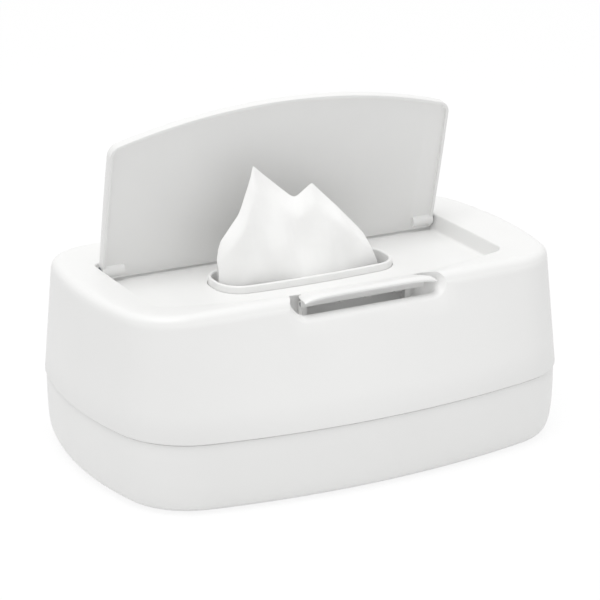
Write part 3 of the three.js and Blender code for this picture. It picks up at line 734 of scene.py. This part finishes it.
# the upper edge: a steep peak on the left, a lower one beside it, and falling sides
def wipeCrest(x):
    away, beside = x - wipe["peakX"], x - wipe["secondX"]
    first = wipe["peak"] - (-wipe["steep"] * away if away < 0 else wipe["soft"] * away)
    second = wipe["second"] - (-wipe["rise"] * beside if beside < 0 else wipe["slack"] * beside)
    left = wipe["leftZ"] + wipe["leftSlope"] * (x - wipe["leftX"]) if away < 0 else 0
    crest = softMax([first, second, left])
    rightFall = wipe["rightZ"] - wipe["rightDrop"] * (x - wipe["rightX"])
    leftFall = wipe["leftZ"] + wipe["leftDrop"] * (x - wipe["leftX"] + 1.5)
    crest = -softMax([-crest, -rightFall])
    return -softMax([-crest, -leftFall]) - 0.6


# v runs up the front face, over the crest at 0 and down the back
def wipePoint(u, v):
    share = 1 - abs(v)
    face = -1 if v < 0 else 1
    x = (wipe["neckHalf"] + (wipe["fanHalf"] - wipe["neckHalf"]) * eased(share, 0.1, 0.5)) * u
    z = wipe["foot"] + (wipeCrest(x) - wipe["foot"]) * share
    free = eased(z, 74, 100)
    lean = x + 0.45 * (z - 84)  # folds run up from the lower left
    waves = (math.sin(lean * 0.16 + 0.6), math.sin(lean * 0.31 - 0.05 * z),
             math.sin(x * 0.62 + 0.11 * z))
    folds = sum(height * wave for height, wave in zip(wipe["foldHeights"], waves))
    belly = wipe["frontThick"] if face < 0 else wipe["rearThick"]
    thick = wipe["neckThick"] + (belly - wipe["neckThick"]) * eased(z, 60, 82)
    thick += (wipe["crestThick"] - thick) * min(max((z - 82) / 50, 0), 1) ** 0.9
    close = math.sin(min(abs(v) / 0.16, 1) * math.pi / 2)
    thick *= close * math.sqrt(max(1 - u * u, 0.0012))
    drift = wipe["flutter"] * free * math.sin(0.24 * x - 0.09 * z + 2 * face) * close
    return (x, folds * free + face * thick + drift, z)


def makeWipe():
    clearSelection()
    bpy.ops.mesh.primitive_grid_add(x_subdivisions=wipe["across"], y_subdivisions=wipe["up"],
                                    size=2)
    piece = bpy.context.object
    piece.name = "raised_wipe_cloth"
    for vertex in piece.data.vertices:
        vertex.co = Vector(wipePoint(vertex.co.x, vertex.co.y)) * mm
    applyModifier(piece, "SOLIDIFY", thickness=wipe["sheet"] * mm, offset=0)
    smoothShade(piece, 60)
    area = sum(face.area for face in piece.data.polygons) / 2 / mm ** 2
    print("wipe area, square mm:", round(area))
    dress(piece, wipeCloth, "base", "wipe_cloth", "raised_wipe")
    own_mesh(piece)


makePile()
makeWipe()
print("wipes made")


# the feet and pins stay as they come, with a finish
def finishNode(name, material):
    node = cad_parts[name]
    if not node.material_slots:
        node.data.materials.append(material)
    for slot in node.material_slots:
        slot.material = material


for corner in ("front_left", "front_right", "rear_left", "rear_right"):
    finishNode("foot_" + corner, footRubber)
for name in ("lid_pin_left", "lid_pin_right", "paddle_pin"):
    finishNode(name, springSteel)


studio = {"floorSize": 30, "floorGlow": 1.03, "floorHide": 0.85, "worldLight": 0.7,
          "lampEnergy": 16, "lampSize": 1.2, "lampPlace": (-0.3, -0.3, 1.9),
          "lampAim": (0, 0, 0.06), "lens": 143.41, "sensor": 36, "shiftX": -0.00153,
          "shiftY": 0.05523, "eye": (-0.507, -0.9555, 0.4434), "target": (0, 0, 0.05)}


# 1 for what the camera sees directly, in a gloss or through glass
def seenDirectly(tree):
    path = addNode(tree, "ShaderNodeLightPath")
    seen = addNode(tree, "ShaderNodeMath", operation="MAXIMUM",
                   links={0: path.outputs["Is Camera Ray"], 1: path.outputs["Is Glossy Ray"]})
    seen = addNode(tree, "ShaderNodeMath", operation="MAXIMUM",
                   links={0: seen.outputs[0], 1: path.outputs["Is Transmission Ray"]})
    return seen.outputs[0]


# white as seen, with enough matt left in it for the object's shadow
def makeFloor():
    clearSelection()
    bpy.ops.mesh.primitive_plane_add(size=studio["floorSize"])
    floor = bpy.context.object
    floor.name = "floor"
    material, tree = emptyMaterial("matt white studio floor")
    part = addNode(tree, "ShaderNodeMath", {1: studio["floorHide"]}, {0: seenDirectly(tree)},
                   operation="MULTIPLY")
    matt = addNode(tree, "ShaderNodeBsdfDiffuse", {"Color": linear("#f2f2f2")})
    glow = addNode(tree, "ShaderNodeEmission",
                   {"Color": (1, 1, 1, 1), "Strength": studio["floorGlow"]})
    both = addNode(tree, "ShaderNodeMixShader",
                   links={0: part.outputs[0], 1: matt.outputs[0], 2: glow.outputs[0]})
    addNode(tree, "ShaderNodeOutputMaterial", links={"Surface": both.outputs[0]})
    floor.data.materials.append(material)


def makeWorld():
    world = bpy.data.worlds.new("white studio")
    bpy.context.scene.world = world
    world.use_nodes = True
    tree = world.node_tree
    tree.nodes.clear()
    soft = addNode(tree, "ShaderNodeBackground",
                   {"Color": (1, 1, 1, 1), "Strength": studio["worldLight"]})
    white = addNode(tree, "ShaderNodeBackground", {"Color": (1, 1, 1, 1), "Strength": 1})
    both = addNode(tree, "ShaderNodeMixShader",
                   links={0: seenDirectly(tree), 1: soft.outputs[0], 2: white.outputs[0]})
    addNode(tree, "ShaderNodeOutputWorld", links={"Surface": both.outputs[0]})


def aim(holder, target):
    towards = Vector(target) - holder.location
    holder.rotation_euler = towards.to_track_quat("-Z", "Y").to_euler()


def addLamp(name):
    lamp = bpy.data.lights.new(name, "AREA")
    lamp.shape = "DISK"
    lamp.size = studio["lampSize"]
    lamp.energy = studio["lampEnergy"]
    holder = bpy.data.objects.new(name, lamp)
    bpy.context.scene.collection.objects.link(holder)
    holder.location = studio["lampPlace"]
    aim(holder, studio["lampAim"])


def makeCamera():
    camera = bpy.data.cameras.new("camera")
    camera.lens = studio["lens"]
    camera.sensor_width = studio["sensor"]
    camera.shift_x, camera.shift_y = studio["shiftX"], studio["shiftY"]
    holder = bpy.data.objects.new("camera", camera)
    bpy.context.scene.collection.objects.link(holder)
    holder.location = studio["eye"]
    aim(holder, studio["target"])
    bpy.context.scene.camera = holder


makeFloor()
makeWorld()
addLamp("overhead")
makeCamera()
bpy.context.scene.view_settings.view_transform = "Standard"
print("stage made")

bpy.context.view_layer.update()
